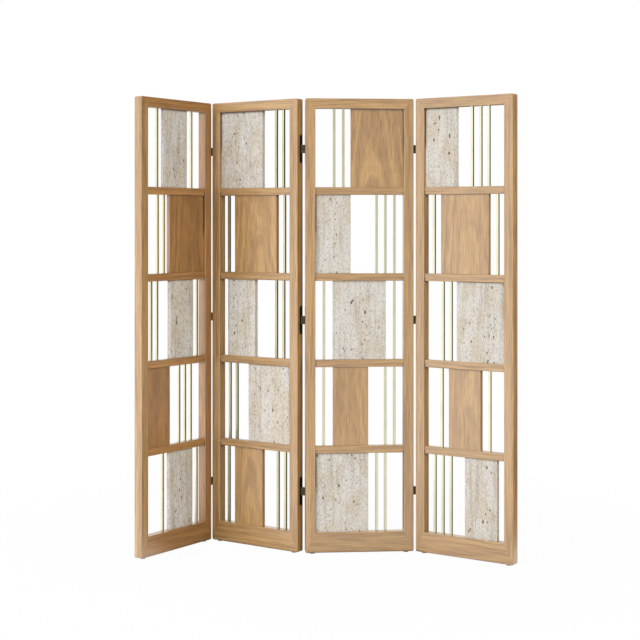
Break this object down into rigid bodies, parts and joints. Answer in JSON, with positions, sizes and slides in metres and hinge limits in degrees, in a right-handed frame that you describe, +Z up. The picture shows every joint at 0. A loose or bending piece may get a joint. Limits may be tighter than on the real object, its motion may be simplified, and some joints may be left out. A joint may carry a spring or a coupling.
{
  "type": "folding screen",
  "caption": "Free-standing zigzag folding screen of oak frames whose bays hold oak and stone slabs and slim brass bars, joined by concealed link hinges.",
  "frame": {"origin": "on the floor at the middle of the outline of the standing zigzag", "axes": "+Z up; the front, which the picture shows, faces -Y; +X runs from panel 1 to panel 4"},
  "size_m": [1.479, 0.4928, 1.805],
  "materials": {
    "oak": "clear matt lacquer on light oak",
    "travertine": "honed, pits left open",
    "brass": "satin brushed",
    "hinge_bronze": "dark bronze, satin",
    "screw_bronze": "dark bronze, satin",
    "hinge_steel": "oiled, darkened steel",
    "glide": "hard brown-grey nylon"
  },
  "bodies": {
    "panel_1": {"panel_1_stile_left": "oak", "panel_1_stile_right": "oak", "panel_1_top_rail": "oak", "panel_1_bottom_rail": "oak", "panel_1_mid_rails": "oak", "panel_1_oak_slabs": "oak", "panel_1_stone_slabs": "travertine", "panel_1_brass_bars": "brass", "panel_1_glides": "glide", "hinge_12_left_bodies": "hinge_bronze", "hinge_12_left_screws": "screw_bronze"},
    "panel_2": {"panel_2_stile_left": "oak", "panel_2_stile_right": "oak", "panel_2_top_rail": "oak", "panel_2_bottom_rail": "oak", "panel_2_mid_rails": "oak", "panel_2_oak_slabs": "oak", "panel_2_stone_slabs": "travertine", "panel_2_brass_bars": "brass", "panel_2_glides": "glide", "hinge_12_right_bodies": "hinge_bronze", "hinge_12_right_screws": "screw_bronze", "hinge_23_left_bodies": "hinge_bronze", "hinge_23_left_screws": "screw_bronze"},
    "panel_3": {"panel_3_stile_left": "oak", "panel_3_stile_right": "oak", "panel_3_top_rail": "oak", "panel_3_bottom_rail": "oak", "panel_3_mid_rails": "oak", "panel_3_oak_slabs": "oak", "panel_3_stone_slabs": "travertine", "panel_3_brass_bars": "brass", "panel_3_glides": "glide", "hinge_23_right_bodies": "hinge_bronze", "hinge_23_right_screws": "screw_bronze", "hinge_34_left_bodies": "hinge_bronze", "hinge_34_left_screws": "screw_bronze"},
    "panel_4": {"panel_4_stile_left": "oak", "panel_4_stile_right": "oak", "panel_4_top_rail": "oak", "panel_4_bottom_rail": "oak", "panel_4_mid_rails": "oak", "panel_4_oak_slabs": "oak", "panel_4_stone_slabs": "travertine", "panel_4_brass_bars": "brass", "panel_4_glides": "glide", "hinge_34_right_bodies": "hinge_bronze", "hinge_34_right_screws": "screw_bronze"},
    "link_12": {"hinge_12_links": "hinge_steel", "hinge_12_pins": "hinge_steel"},
    "link_23": {"hinge_23_links": "hinge_steel", "hinge_23_pins": "hinge_steel"},
    "link_34": {"hinge_34_links": "hinge_steel", "hinge_34_pins": "hinge_steel"}
  },
  "joints": [
    {"name": "panel_4_fold", "type": "hinge", "parent": "link_34", "child": "panel_4", "pos_m": [0.37031, 0.00218, 0.925], "axis": [0, 0, -1], "range_deg": [-19.62, 70.38]},
    {"name": "link_34_turn", "type": "hinge", "parent": "panel_3", "child": "link_34", "pos_m": [0.35243, 0.00693, 0.925], "axis": [0, 0, -1], "range_deg": [-19.62, 70.38]},
    {"name": "panel_2_fold", "type": "hinge", "parent": "link_23", "child": "panel_2", "pos_m": [-0.09176, -0.00218, 0.925], "axis": [0, 0, -1], "range_deg": [-19.62, 70.38]},
    {"name": "link_23_turn", "type": "hinge", "parent": "panel_3", "child": "link_23", "pos_m": [-0.07388, -0.00693, 0.925], "axis": [0, 0, -1], "range_deg": [-19.62, 70.38]},
    {"name": "panel_1_fold", "type": "hinge", "parent": "link_12", "child": "panel_1", "pos_m": [-0.47321, 0.21802, 0.925], "axis": [0, 0, 1], "range_deg": [-45, 45]},
    {"name": "link_12_turn", "type": "hinge", "parent": "panel_2", "child": "link_12", "pos_m": [-0.45502, 0.22139, 0.925], "axis": [0, 0, 1], "range_deg": [-45, 45]}
  ],
  "couplings": [
    {"joint": "link_34_turn", "follows": "panel_4_fold", "ratio": 1},
    {"joint": "link_23_turn", "follows": "panel_2_fold", "ratio": 1},
    {"joint": "link_12_turn", "follows": "panel_1_fold", "ratio": 1}
  ]
}
